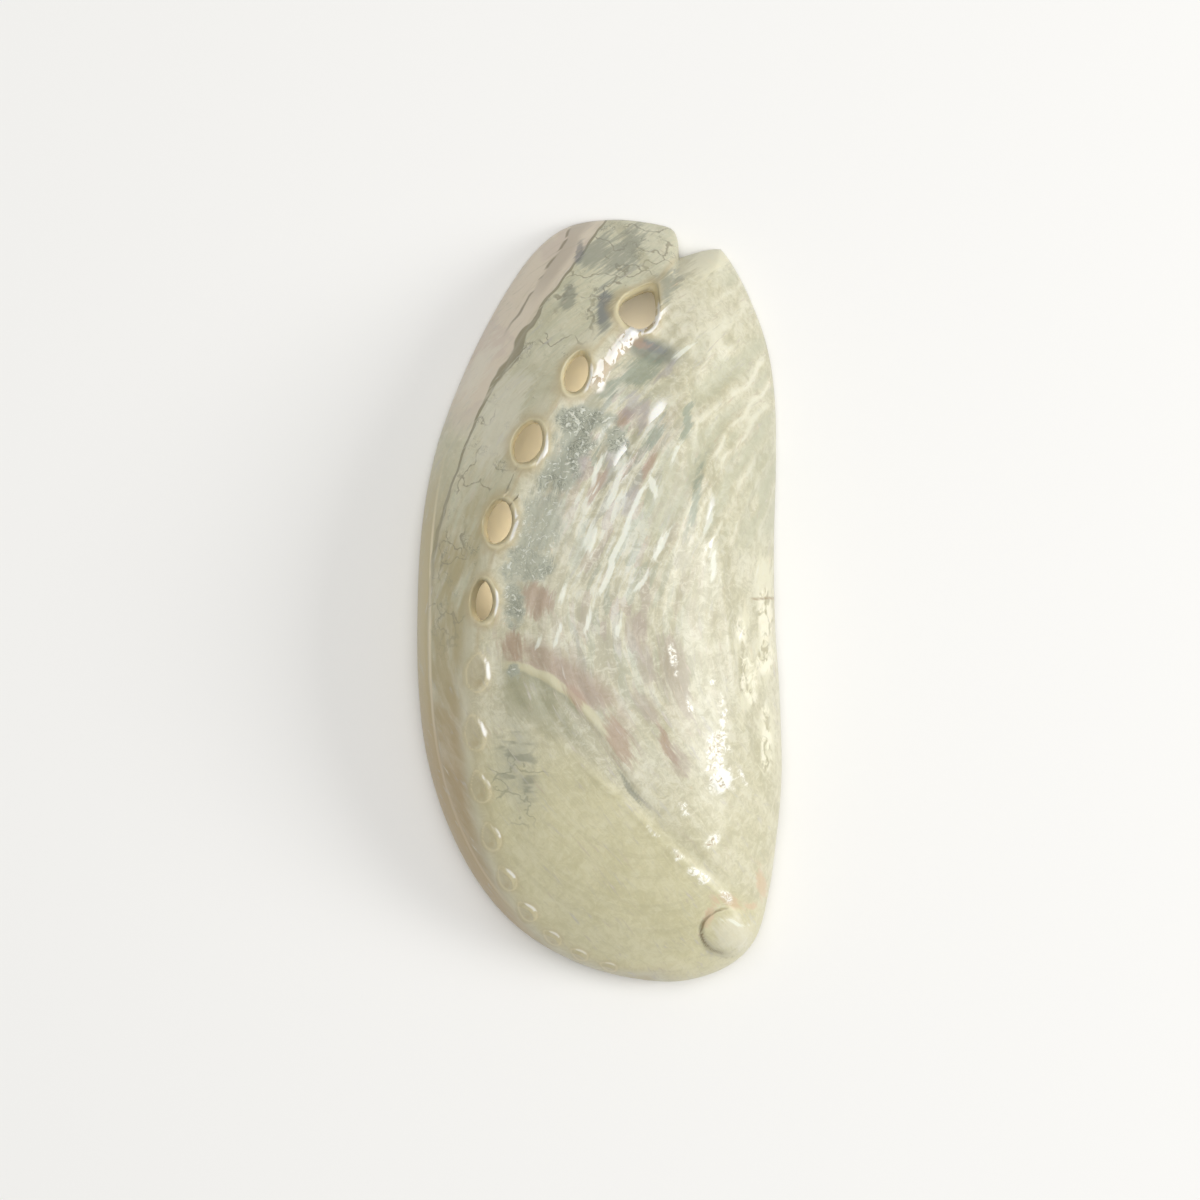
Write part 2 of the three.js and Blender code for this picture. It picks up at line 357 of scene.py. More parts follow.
def pitting(x, y):
    """Worm-like pits a third of a millimetre wide on the bared patches, larger puckers and
    oval pits on the wrinkled edge, and the crack beside them."""
    worms = np.abs(noise(x / 0.42, y / 0.42, 61) + 0.5 * noise(x / 0.25, y / 0.3, 62))
    rise = -0.07 * bared(x, y) * (1 - ease(worms, 0.0, 0.3)) * ease(y, 4, 13)
    puckers = np.abs(noise(x / 0.55, y / 0.9, 63) + 0.4 * noise(x / 0.3, y / 0.5, 64))
    rise = rise - 0.16 * wrinkled(x, y) * (1 - ease(puckers, 0.0, 0.35))
    for centre_x, centre_y in ((16.7, -1.4), (16.7, -3.9), (14.7, -4.0), (15.4, -7.2)):
        rise = rise - 0.16 * spot(x, y, centre_x, centre_y, 0.35, 0.6)
    return rise - 0.08 * edge_crack(x, y)


def edge_crack(x, y):
    """A short crack that runs in from the right edge: 1 in the crack."""
    return bell(y - 0.2 - 0.15 * noise(x / 0.8, 0 * y, 65), 0.14) * ease(x, 15.4, 16.2)


def pore_well(x, y):
    """Open pores: the surface runs down into each as a short funnel, inside a lip that is
    wider and higher on the right."""
    drop = np.zeros_like(x)
    for pore in PORES[:OPEN_PORES]:
        _, clear, right = in_pore(pore, x, y)
        on_right = ease(right, -0.5, 0.9)
        lip = 0.22 + 0.2 * on_right
        uneven = 1 + 0.5 * noise(x / 0.7, y / 0.7, 81)
        funnel = (1 - ease(clear, -0.1, lip)) * (0.35 + 0.4 * on_right)
        swell = (0.06 + 0.3 * on_right) * uneven
        drop += bell(clear - lip - 0.1, 0.25 + 0.15 * on_right) * swell - funnel
    return drop


def sealed_pores(x, y):
    """Sealed pores: a thin raised outline, higher on its right, round a shallow dish, all of
    it on a low mound."""
    rise = np.zeros_like(x)
    for pore in PORES[OPEN_PORES:]:
        share, clear, right = in_pore(pore, x, y)
        size = pore[2] / 1.15
        outline = bell(clear, 0.16) * (0.07 + 0.16 * ease(right, -0.2, 0.8))
        dish = (1 - ease(share, 0.5, 1.0)) * 0.14
        rise += size * (outline - dish + 0.14 * np.exp(-((share / 1.4) ** 4)))
    return rise


def spire(x, y):
    """Lift of the coiled tip: a small dome of its own that faces up rather than out."""
    away = np.hypot(x - APEX[0], y - APEX[1]) / SPIRE_RADIUS
    bulge = np.sqrt(np.clip(1 - away**2, 0, 1)) * SPIRE_RISE
    level = DOME_HEIGHT * (dome_fall(*APEX[:, None])[0] - dome_fall(x, y))
    return bulge + 0.45 * np.clip(level, -2.5, 2.5) * (1 - ease(away, 0.5, 1.15))


def suture(x, y):
    """The seam round the spire, a groove open on its right: 1 in the groove."""
    out, up = (x - APEX[0]) / 1.06, (y - APEX[1]) / 0.9
    turn = np.degrees(np.arctan2(up, out))
    around = ease(np.abs(turn), 78, 110)
    return bell(np.hypot(out, up) - SPIRE_RADIUS * 0.93, 0.13) * around


def relief(x, y):
    """All that stands off the dome, in millimetres along its normal."""
    rise = keel(x, y) + folds(x, y) + front_crest(x, y) + ribs(x, y) + swells(x, y)
    return rise + pitting(x, y) + sealed_pores(x, y) - 0.22 * suture(x, y)


# ---------------------------------------------------------------- the shell's mesh
# A square sheet of cells is bent into the ear shape, its corners eased out to the edge, once
# for the outside and once, twice as coarse, for the inside. A rounded rim joins the two, and
# at each open pore a block of cells gives way to rings that close in on the pore's outline.

CELLS = (194, 334)
PORE_MARGIN = 0.3
HALVINGS = 30
PORE_RINGS = 14
THROAT_RINGS = 5
RIM_RINGS = 7
STRETCH = (cad_high[1] - cad_low[1]) / (cad_high[0] - cad_low[0])


def plan_grid(cells):
    """Square sheet bent onto the ear shape. Each square ring of cells becomes a ring round
    the crown; rings crowd together towards the edge, where the dome turns steep."""
    a, b = np.meshgrid(*(np.linspace(-1, 1, n + 1) for n in cells), indexing="ij")
    ring = np.maximum(np.abs(a), np.abs(b))
    flat = np.abs(a) >= np.abs(b)
    safe = np.where(ring == 0, 1, ring)
    on_side = np.where(a > 0, 0, math.pi) + math.pi / 4 * b / safe * np.sign(a)
    on_end = np.where(b > 0, 0.5, 1.5) * math.pi - math.pi / 4 * a / safe * np.sign(b)
    angle = np.where(flat, on_side, on_end)
    bearing = np.arctan2(STRETCH * np.sin(angle), np.cos(angle))
    edge = np.interp(bearing, *CROWN_TABLE, period=2 * math.pi)
    reach = 0.25 * ring + 0.75 * np.sin(math.pi / 2 * ring)
    x = CROWN[0] + reach * edge * np.cos(bearing)
    y = CROWN[1] + reach * edge * np.sin(bearing)
    return x, y


def outer_point(x, y):
    """Outer face: dome, then relief along its normal, then pores and spire straight up."""
    fall = dome_fall(x, y)
    lift = relief(x, y) * np.minimum(1, 3 * fall)
    point = np.stack([x, y, RIM_ROUNDING + DOME_HEIGHT * fall], axis=-1)
    point += dome_normal(x, y) * lift[..., None]
    point[..., 2] += pore_well(x, y) + spire(x, y)
    point[..., :2] += notch_pull(x, y)
    return point


def rim_width(x, y):
    """A narrow lip all round, widening into the flat shelf along the right side."""
    bearing = from_crown(x, y)[0]
    return RIM_WIDTH + (SHELF_WIDTH - RIM_WIDTH) * ease(np.cos(bearing), 0.4, 0.8)


def inner_point(x, y):
    """Inner face: a lower dome drawn in from the edge by the rim's width."""
    bearing, _, reach = from_crown(x, y)
    fall = dome_fall(x, y)
    inset = -rim_width(x, y) * reach**6
    height = RIM_ROUNDING + (DOME_HEIGHT - WALL) * fall + keel(x, y) * np.minimum(1, 3 * fall)
    point = np.stack([
        x + inset * np.cos(bearing), y + inset * np.sin(bearing), height,
    ], axis=-1)
    point[..., :2] += notch_pull(x, y)
    return point


class Sheet:
    """Points and faces of one mesh, gathered piece by piece."""

    def __init__(self):
        self.points = []
        self.faces = []
        self.count = 0

    def add(self, points):
        """Adds an array of points and gives their numbers in the same layout."""
        flat = points.reshape(-1, 3)
        numbers = self.count + np.arange(len(flat)).reshape(points.shape[:-1])
        self.points.append(flat)
        self.count += len(flat)
        return numbers

    def quads(self, lower, upper, flip=False):
        """Joins two equal rows of points, or two stacks of them, with four-sided faces."""
        faces = np.stack([lower[..., :-1], lower[..., 1:], upper[..., 1:], upper[..., :-1]], -1)
        faces = faces.reshape(-1, 4)
        self.faces.append(faces[:, ::-1] if flip else faces)

    def rings(self, loop, points, flip=False):
        """Joins rings of new points to a closed loop, one after another; gives the last."""
        numbers = self.add(points)
        stack = np.concatenate([loop[None], np.concatenate([numbers, numbers[:, :1]], axis=1)])
        self.quads(stack[:-1], stack[1:], flip)
        return stack[-1]

    def halve(self, fine, coarse):
        """Joins a closed loop to one with half as many points, three triangles to a step."""
        left, middle, right = fine[0:-1:2], fine[1::2], fine[2::2]
        for corners in (
            (left, middle, coarse[:-1]),
            (middle, coarse[1:], coarse[:-1]),
            (middle, right, coarse[1:]),
        ):
            self.faces.append(np.stack(corners, -1))


def loop_of(grid):
    """Border of a block of a grid, counter-clockwise, first point repeated at the end."""
    return np.concatenate([grid[:-1, 0], grid[-1, :-1], grid[:0:-1, -1], grid[0, ::-1]])


def pore_blocks(x, y):
    """Block of cells to take out round each open pore: even start and end on both axes."""
    blocks = []
    for pore in PORES[:OPEN_PORES]:
        near = np.argwhere(in_pore(pore, x, y)[1] < PORE_MARGIN)
        low = near.min(0) // 2 * 2
        high = (near.max(0) + 1) // 2 * 2
        blocks.append((*low, *high))
    return blocks


def pore_rings(pore, border, rings):
    """Plan points from a block's border in to the pore's outline, ring by ring. The outline
    is found on each line from the border to the pore's centre by halving."""
    centre = pore[:2]
    low, high = np.zeros(len(border)), np.ones(len(border))
    for _ in range(HALVINGS):
        middle = (low + high) / 2
        inside = in_pore(pore, *(centre + (border - centre) * middle[:, None]).T)[0] < 1
        low, high = np.where(inside, middle, low), np.where(inside, high, middle)
    outline = centre + (border - centre) * high[:, None]
    step = (np.arange(1, rings + 1) / rings)[:, None, None] ** 0.8
    return border + (outline - border) * step


def doubled(loop):
    """A loop of points with one more midway along each step."""
    return np.stack([loop, (loop + np.roll(loop, -1, axis=0)) / 2], axis=1).reshape(-1, 3)


def shares(rings):
    """How far across each of the rings lies that fill the gap between two loops."""
    return (np.arange(1, rings + 1) / (rings + 1))[:, None, None]


def lay_face(sheet, cells, blocks, place, rings, flip):
    """One face of the shell; gives its edge loop and the outline loop of each pore."""
    x, y = plan_grid(cells)
    numbers = sheet.add(place(x, y))
    keep = np.ones(np.array(x.shape) - 1, bool)
    outlines = []
    for pore, (i0, j0, i1, j1) in zip(PORES, blocks):
        keep[i0:i1, j0:j1] = False
        border = loop_of(np.stack([x, y], -1)[i0:i1 + 1, j0:j1 + 1])
        plan = pore_rings(pore, border[:-1], rings)
        around = loop_of(numbers[i0:i1 + 1, j0:j1 + 1])
        outlines.append(sheet.rings(around, place(plan[..., 0], plan[..., 1]), flip))
    faces = np.stack([numbers[:-1, :-1], numbers[1:, :-1], numbers[1:, 1:], numbers[:-1, 1:]], -1)
    faces = faces[keep]
    sheet.faces.append(faces[:, ::-1] if flip else faces)
    return loop_of(numbers), outlines


def make_shell():
    """The closed mesh of the shell, in millimetres: points and faces."""
    sheet = Sheet()
    blocks = pore_blocks(*plan_grid(CELLS))
    half_cells = [n // 2 for n in CELLS]
    half_blocks = [[n // 2 for n in block] for block in blocks]
    edge, mouths = lay_face(sheet, CELLS, blocks, outer_point, PORE_RINGS, False)
    hem, throats = lay_face(sheet, half_cells, half_blocks, inner_point, PORE_RINGS // 2, True)
    points = np.concatenate(sheet.points)

    # The rim: rings that sink to the floor between the outer edge and the inner hem
    out, inn = points[edge[:-1]], doubled(points[hem[:-1]])
    share = shares(RIM_RINGS)
    width = np.linalg.norm(out - inn, axis=-1)[None, :, None]
    squareness = 1 + width / (2 * RIM_ROUNDING)
    rim = out + (inn - out) * share
    sunk = (1 - np.abs(2 * share - 1) ** squareness) ** (1 / squareness)
    rim[..., 2:] *= 1 - sunk
    last = sheet.rings(edge, rim, True)
    sheet.halve(last[::-1], hem[::-1])

    # The throats: each pore's wall, from its mouth down to its hole in the inner face
    for mouth, throat in zip(mouths, throats):
        top, foot = points[mouth[:-1]], doubled(points[throat[:-1]])
        last = sheet.rings(mouth, top + (foot - top) * shares(THROAT_RINGS))
        sheet.halve(last, throat)
    return np.concatenate(sheet.points), sheet.faces


def into_mesh(name, points, faces):
    """A Blender mesh from points in metres and arrays of three- and four-sided faces."""
    mesh = bpy.data.meshes.new(name)
    sizes = np.concatenate([np.full(len(block), block.shape[1]) for block in faces])
    corners = np.concatenate([block.ravel() for block in faces])
    mesh.vertices.add(len(points))
    mesh.vertices.foreach_set("co", points.ravel())
    mesh.loops.add(len(corners))
    mesh.loops.foreach_set("vertex_index", corners)
    mesh.polygons.add(len(sizes))
    mesh.polygons.foreach_set("loop_start", np.concatenate([[0], np.cumsum(sizes)[:-1]]))
    mesh.update(calc_edges=True)
    mesh.validate()
    mesh.polygons.foreach_set("use_smooth", np.ones(len(mesh.polygons), bool))
    return mesh


shell_points, shell_faces = make_shell()
shell_mesh = into_mesh("abalone_shell", shell_points * MM, shell_faces)
shell = bpy.data.objects.new("abalone_shell", shell_mesh)
bpy.context.scene.collection.objects.link(shell)


# ---------------------------------------------------------------- where the nacre's colours lie
# Nacre is a stack of thin plates that splits light, so its silver-cream drifts into clouds and
# streaks of rose, violet and green; the white ones are painted highlights. Each tint below is a
# colour, how strong it gets, and the soft ovals that it lies in: centre, half width, half length
# and lean in degrees.

TINTS = {
    "grey_green": ("#8b8d7f", 0.65, [
        (2.6, 36.4, 1.5, 3.2, 30), (-0.6, 36.4, 1.2, 2.4, 30), (0.4, 29.8, 1.0, 2.4, 12),
        (-3.4, 31.7, 0.7, 1.4, 22), (3.2, -19.2, 0.3, 2.4, -38), (6.8, 32.6, 1.2, 2.4, 40),
    ]),
    "slate": ("#75787a", 0.6, [
        (0.4, 30.2, 0.7, 1.9, 8), (-2.0, 36.2, 0.4, 1.2, 20), (5.2, 26.6, 0.5, 1.8, -70),
    ]),
    "sea_green": ("#8b9684", 0.65, [
        (4.2, 24.0, 2.0, 1.6, 0), (0.8, 21.6, 0.9, 1.5, 40), (9.0, 18.6, 0.45, 2.4, 20),
        (5.6, 17.0, 0.5, 2.2, 25), (9.8, 11.0, 0.5, 3.4, 10),
    ]),
    "olive": ("#a5a283", 0.55, [
        (-8.4, -10.2, 2.4, 1.5, 72), (-5.4, -12.2, 2.2, 1.2, 62), (3.6, 17.4, 0.6, 1.4, 25),
        (-0.8, 20.6, 0.8, 1.0, 40), (8.0, -7.4, 1.8, 2.6, -15),
    ]),
    "rose": ("#a98f79", 0.70, [
        (-6.5, 0.2, 1.7, 1.9, 0), (-8.9, -4.8, 1.7, 1.2, 70), (-2.6, -9.4, 1.6, 0.7, 50),
        (2.1, -14.6, 1.2, 2.5, -22), (7.2, -15.4, 0.45, 2.6, -27),
        (-0.4, 11.6, 0.6, 2.4, 20),
        (2.4, 19.2, 0.8, 1.2, 20), (5.2, 13.6, 0.4, 1.6, 20), (3.9, 27.0, 0.45, 1.8, -70),
    ]),
    "mauve": ("#a8988a", 0.45, [
        (4.8, -11.0, 0.8, 2.4, -30), (8.6, -10.2, 0.7, 2.6, -20), (7.4, -5.6, 1.2, 2.4, -16),
        (8.0, -8.2, 1.3, 1.6, -18), (4.6, -6.4, 1.0, 2.4, -20), (8.2, -16.6, 1.0, 1.6, -27),
        (3.6, -2.6, 1.2, 1.6, 30),
    ]),
    "pearl": ("#e0dcca", 0.5, [
        (-10.2, 18.6, 2.0, 6.0, 22), (-12.8, 24.2, 1.2, 4.0, 30), (13.8, -34.6, 2.2, 1.7, 0),
    ]),
    "violet": ("#a49da0", 0.45, [
        (-2.0, 14.2, 0.8, 2.5, 18), (3.4, 20.2, 0.8, 1.4, 20), (4.7, 19.0, 0.5, 1.7, 15),
        (1.4, 15.4, 0.5, 2.0, 20), (3.0, 10.0, 0.6, 2.2, 24), (6.9, 24.2, 0.5, 1.4, 45),
    ]),
    "ivory": ("#e1ddc2", 0.8, [
        (17.0, 2.2, 1.1, 2.8, 0), (14.6, -3.0, 0.8, 2.4, 8), (15.4, -9.4, 0.8, 3.2, 6),
        (17.2, -5.6, 0.9, 2.6, 0), (17.4, -14.6, 0.9, 3.6, 0), (11.8, 35.6, 1.4, 2.6, 60),
    ]),
    "peach": ("#d3bb9a", 0.75, [
        (13.4, -31.3, 0.7, 1.6, -60), (15.9, -32.2, 0.6, 0.5, 0), (11.2, -33.0, 0.5, 1.4, 20),
        (16.9, -29.6, 0.5, 1.6, -10),
    ]),
    # Painted highlights: white flecks and streaks where the plates catch the light, and a stroke across
    # the spire
    "white": ("#ebeddf", 0.70, [
        (-0.3, 13.2, 0.32, 2, 22), (1.3, 11.1, 0.41, 1.6, 22), (2.3, 14, 0.38, 1.5, 22),
        (6.2, 19.4, 0.34, 0.9, 20), (7.8, 15.2, 0.29, 1.5, 30), (5.5, 11.6, 0.26, 1.3, -18),
        (4.2, 10.2, 0.29, 2.2, 28), (2.2, 6, 0.32, 2.8, 24), (0.6, 2.2, 0.29, 2.2, 22),
        (6.4, 6, 0.26, 2.2, 30), (4.2, 2, 0.26, 1.6, 28), (-0.9, 6.2, 0.58, 1.8, 16),
        (-3.7, 0.2, 0.26, 1.1, 14), (-1.3, -1.8, 0.24, 1.3, 22), (-6.3, -4.4, 0.22, 0.9, 20),
        (-4.4, -3.8, 0.22, 1.2, 20), (1.8, -3.3, 0.26, 0.8, 15), (14.1, -33.75, 1.5, 0.17, 0),
        (11.2, 8.4, 0.29, 1.8, 8), (11.8, 3.4, 0.29, 1.4, 4), (8.4, 25.6, 0.32, 1.5, 60),
    ]),
}


def cover(x, y, patches, seed):
    """How far a tint covers the nacre: the sum of its ovals, bent a little by noise."""
    bend_x, bend_y = noise(x / 2.2, y / 2.2, seed), noise(x / 2.2, y / 2.2, seed + 1)
    return np.clip(sum(spot(x + 0.25 * bend_x, y + 0.6 * bend_y, *patch) for patch in patches), 0, 1)


def lustre(x, y):
    """How strongly the nacre is flamed: most along the middle, little on the smooth body."""
    row = across_row(x, y)
    spire_side, _ = beside(SPIRE_LINE, x, y)
    middle = (1 - ease(row, -3.2, -0.8)) * ease(spire_side, -0.6, 2.0)
    flames = 0.9 * spot(x, y, 1, 15.5, 5.5, 7, 22) + 0.5 * spot(x, y, 2, 3, 7, 10, 22)
    flames = flames + 0.3 * spot(x, y, 3, -9, 8, 9, -20)
    return np.clip(middle * (0.12 + flames), 0, 1)


def sparkle(x, y):
    """Where the plates lie at odds and flash, beside the young pores and low on the shelf side: they
    tilt and gloss there, and near-white glints are painted on some of them."""
    patches = [
        (6.0, 19.0, 0.9, 1.8, 20), (11.2, 6.0, 0.5, 5.0, 6), (2.4, 14.2, 1.0, 2.4, 20),
        (12.6, -18.6, 1.0, 1.3, -10), (4.4, 28.6, 0.8, 3.6, 52), (14.4, -2.8, 0.5, 1.6, 0),
    ]
    return ease(sum(spot(x, y, *patch) for patch in patches), 0.1, 0.8)


def crackle_and_highlight(x, y):
    """Where the shelf side shows crackle and painted highlight: a round patch, the scattered fringe
    round it, and the ridge to the spire. Its white glow and specks are painted highlights, and its
    brown crackle is the nacre's own colour."""
    patches = [
        (12.6, -18.4, 1.6, 1.6, 0), (12.1, -15.2, 1.1, 1.7, 0), (12.8, -12.0, 0.5, 2.2, -10),
        (7.6, -6.0, 0.4, 1.7, -12), (9.2, -10.8, 0.25, 1.2, -20), (11.4, -8.5, 0.5, 0.3, 0),
        (8.6, -21.5, 0.45, 0.9, -30), (11.6, -24.9, 0.6, 0.9, 40), (14.9, -18.4, 0.3, 1.1, -20),
        (5.9, -24.4, 0.35, 1.4, -42), (8.2, -26.6, 0.45, 0.9, -50), (10.4, -28.6, 0.6, 1.4, -56),
        (13.2, -31.0, 0.5, 0.9, -45),
    ]
    ragged = 0.65 + 0.6 * noise(x / 0.7, y / 0.7, 52) + 0.5 * noise(x / 0.32, y / 0.32, 53)
    return np.clip(1.1 * sum(spot(x, y, *patch) for patch in patches) * ragged, 0, 1)


def pore_rims(x, y):
    """Three shares round each pore: its pale lip, the tan halo that also follows the seam
    from pore to pore and up to the notch, and the glossy crescent on its right, painted as a
    highlight, which leans to the upper right on the sealed pores."""
    lip, crescent = np.zeros_like(x), np.zeros_like(x)
    seam, run = beside([(5.4, 32.4), (6.8, 34.2), (8.4, 36.4)], x, y, 1)
    halo = 0.7 * bell(across_row(x, y), 0.3) * ease(y, -12.0, -4.0) * (1 - ease(y, 30, 32))
    halo = np.maximum(halo, 0.7 * bell(seam, 0.35) * run)
    halo = np.maximum(halo, 0.35 * bell(across_row(x, y), 1.4) * (1 - ease(y, -8, 0)))
    uneven = 1 + 0.3 * noise(x / 0.8, y / 0.8, 82)
    for number, pore in enumerate(PORES):
        _, clear, right = in_pore(pore, x, y)
        clear = clear * uneven
        is_open = number < OPEN_PORES
        size = 1.0 if is_open else 0.5
        lip = np.maximum(lip, bell(clear - 0.15 * size, 0.3 * size) * (0.5 + 0.5 * size))
        halo = np.maximum(halo, (1 - ease(clear, 0.1, 1.7 * size)) * (1.0 if is_open else 0.55))
        lower = spot(x, y, pore[0], pore[1] - 0.6 * pore[3], 0.6 * pore[2], 0.3 * pore[3])
        halo = np.maximum(halo, 0 if is_open else lower)
        if is_open:
            flash = bell(clear - 0.32, 0.2) * ease(right, 0.3, 1.0)
        else:
            upper = np.sign(y - pore[1]) * np.sqrt(1 - right**2)
            flash = bell(clear, 0.12 + 0.1 * pore[2]) * ease(right + 0.35 * upper, 0.45, 0.95)
            flash = flash * (0.3 + 0.6 * pore[2])
        crescent = np.maximum(crescent, flash)
    return lip, halo, crescent


def crest_band(x, y):
    """1 along the crumpled crest right of the two youngest pores."""
    crest, run = beside(FRONT_CREST, x, y, 2)
    return bell(crest + 0.3 * noise(x / 0.6, y / 0.6, 83), 0.7) * run


# A second growth line, inside the lilac strip left of the flank fold
INNER_FOLD = [(-3.2, 38.6), (-6.1, 33.9), (-7.2, 32.2), (-9.2, 29.2), (-12.6, 22.0)]

plan = shell_points[:, :2].T
marks = {
    name: cover(*plan, patches, 70 + 2 * number)
    for number, (name, (_, _, patches)) in enumerate(TINTS.items())
}
_, edge, reach = from_crown(*plan)

# Fold lines wander by a third of a millimetre, and the flank's is widest near the front
wander = 0.35 * noise(*plan / 2.8, 91) + 0.12 * noise(*plan / 0.9, 92)
fold_width = 0.14 + 0.34 * bell(plan[1] - 25.5, 3.6) + 0.1 * bell(plan[1] - 2, 8)

# What lies deep below the outer dome is the inside of the shell, and stays plain
depth = RIM_ROUNDING + DOME_HEIGHT * dome_fall(*plan) - shell_points[:, 2]
outside = 1 - ease(depth, 0.9, 1.3)

# Beside the fourth and fifth pores the frost is less etched
marks["frost"] = bared(*plan) * outside
calm = 0.9 * spot(*plan, -6.0, 8.2, 2.6, 3.4) + 0.6 * spot(*plan, -8.2, 2, 3, 4)
marks["etching"] = marks["frost"] * (1 - calm)

for name, shape in (
    ("wrinkle", wrinkled), ("rippled", rippled), ("crackle_and_highlight", crackle_and_highlight), ("sparkle", sparkle),
    ("crest", crest_band),
):
    marks[name] = shape(*plan) * outside
for name, shape in (
    ("ripple", ripples), ("edge_crack", edge_crack), ("lustre", lustre), ("suture", suture),
):
    marks[name] = shape(*plan)
# The hollow behind the front crest, where dark grey-green is painted as shade over its greenish colour
marks["hollow"] = spot(*plan, 5.5, 25.8, 1.5, 3.4, -74)
marks["lip"], marks["halo"], marks["crescent"] = pore_rims(*plan)
marks["crescent"] *= outside
marks["gloss"] = np.maximum(marks["sparkle"], marks["crescent"])
marks["flank_fold"] = (beside(FLANK_FOLD, *plan, 4)[0] + wander) / fold_width
marks["inner_fold"] = beside(INNER_FOLD, *plan, 2)[0] + wander
marks["height"] = plan[1]
marks["late_fold"] = beside(LATE_FOLD, *plan)[0] + wander
marks["margin"] = edge * (1 - reach)
marks["dashes"] = spot(*plan, -8.5, -17.0, 2.2, 4.8, -6)
marks["right_of_row"] = -across_row(*plan)
marks["pale_line"], marks["pale_run"] = beside(PALE_LINE, *plan)
marks["from_spire"] = np.hypot(*(plan - APEX[:, None]))
for name, values in marks.items():
    shell_mesh.attributes.new(name, "FLOAT", "POINT").data.foreach_set("value", values)
grain = np.stack([across_grain(*plan), plan[1], shell_points[:, 2]], axis=-1)
shell_mesh.attributes.new("grain", "FLOAT_VECTOR", "POINT").data.foreach_set("vector", grain.ravel())


# ---------------------------------------------------------------- nacre
# Polished nacre: a silver-cream body colour under a clear gloss, flamed along the grain with
# fine streaks and small plates that each catch the light at their own angle. Its white flecks,
# streaks and crescents are painted highlights, its ripples carry painted light and shade, and its
# hollow is painted shade.

def linear(code):
    """A hex colour, as painters mix it, turned to the linear values that light adds up in."""
    channels = [int(code[i:i + 2], 16) / 255 for i in (1, 3, 5)]
    return [c / 12.92 if c <= 0.04045 else ((c + 0.055) / 1.055) ** 2.4 for c in channels] + [1]


def add_node(tree, kind, inputs=(), **properties):
    """Adds a node, sets its properties, and gives each input its link or its value."""
    node = tree.nodes.new(kind)
    for name, value in properties.items():
        setattr(node, name, value)
    for name, source in dict(inputs).items():
        if isinstance(source, bpy.types.NodeSocket):
            tree.links.new(source, node.inputs[name])
        else:
            node.inputs[name].default_value = source
    return node


nacre = bpy.data.materials.new("polished_nacre")
nacre.use_nodes = True
tree = nacre.node_tree
tree.nodes.clear()
mark = {
    name: add_node(tree, "ShaderNodeAttribute", attribute_name=name).outputs["Fac"]
    for name in marks
}
along = add_node(tree, "ShaderNodeAttribute", attribute_name="grain").outputs["Vector"]

# The grain is bent sideways by about half a millimetre, every 8 mm or so
sway = add_node(tree, "ShaderNodeTexNoise", {"Vector": along, "Scale": 0.12, "Detail": 1.5})
along = add_node(tree, "ShaderNodeVectorMath", {
    0: sway.outputs["Color"], 1: (2.4, 0.8, 0.0), 2: along,
}, operation="MULTIPLY_ADD").outputs[0]

# Each noise has so many cells to the millimetre across, along and up. Along the grain run broad
# streaks 1.2 mm wide and 6 mm long, and fine ones a third of that. Clouds are 7 mm across,
# wobbles 2 mm, specks 1 mm and grains 0.9 mm. Puckers are 1 mm wide and 1.6 mm long, and
# strokes across the body 3 mm wide and 1 mm long.
place = add_node(tree, "ShaderNodeVectorMath", {
    0: add_node(tree, "ShaderNodeTexCoord").outputs["Object"], "Scale": 1 / MM,
}, operation="SCALE").outputs[0]
NOISES = {
    # name: place, cells to the millimetre, detail, roughness, distortion
    "broad": (along, (0.85, 0.17, 0.3), 3.0, 0.5, 0.2),
    "fine": (along, (3.0, 0.5, 1.0), 4.0, 0.5, 0.3),
    "bend": (along, (2.4, 0.4, 0.8), 2.0, 0.5, 0.0),
    "clouds": (place, (0.14, 0.14, 0.14), 4.0, 0.6, 0.4),
    "wobble": (place, (0.42, 0.42, 0.42), 3.0, 0.5, 0.0),
    "specks": (place, (0.9, 0.9, 0.9), 5.0, 0.8, 0.6),
    "grains": (place, (1.15, 1.15, 1.15), 3.0, 0.6, 2.0),
    "puckers": (place, (1.0, 0.6, 0.6), 2.5, 0.5, 1.2),
    "strokes": (place, (0.35, 0.9, 0.001), 2.0, 0.5, 0.0),
}
noises = {}
for name, (source, cells, detail, roughness, distortion) in NOISES.items():
    scaled = add_node(tree, "ShaderNodeMapping", {"Vector": source, "Scale": cells})
    noises[name] = add_node(tree, "ShaderNodeTexNoise", {
        "Vector": scaled.outputs[0], "Scale": 1.0, "Detail": detail,
        "Roughness": roughness, "Distortion": distortion,
    }).outputs
pattern = dict(mark)
pattern.update((name, outputs["Fac"]) for name, outputs in noises.items())

# Worms run where the grains' noise crosses its middle
off_middle = add_node(tree, "ShaderNodeMath", {0: pattern["grains"], 1: 0.5}, operation="SUBTRACT")
pattern["worms"] = add_node(tree, "ShaderNodeMath", {
    0: off_middle.outputs[0],
}, operation="ABSOLUTE").outputs[0]

# Cracks run between cells 10 mm wide and 4 mm long, bent by the wobbles
bent = add_node(tree, "ShaderNodeVectorMath", {
    0: noises["wobble"]["Color"], 1: (6, 4, 6), 2: place,
}, operation="MULTIPLY_ADD").outputs[0]
scaled = add_node(tree, "ShaderNodeMapping", {"Vector": bent, "Scale": (0.095, 0.247, 0.19)})
pattern["cracks"] = add_node(tree, "ShaderNodeTexVoronoi", {
    "Vector": scaled.outputs[0], "Scale": 1.0,
}, voronoi_dimensions="3D", feature="DISTANCE_TO_EDGE").outputs["Distance"]

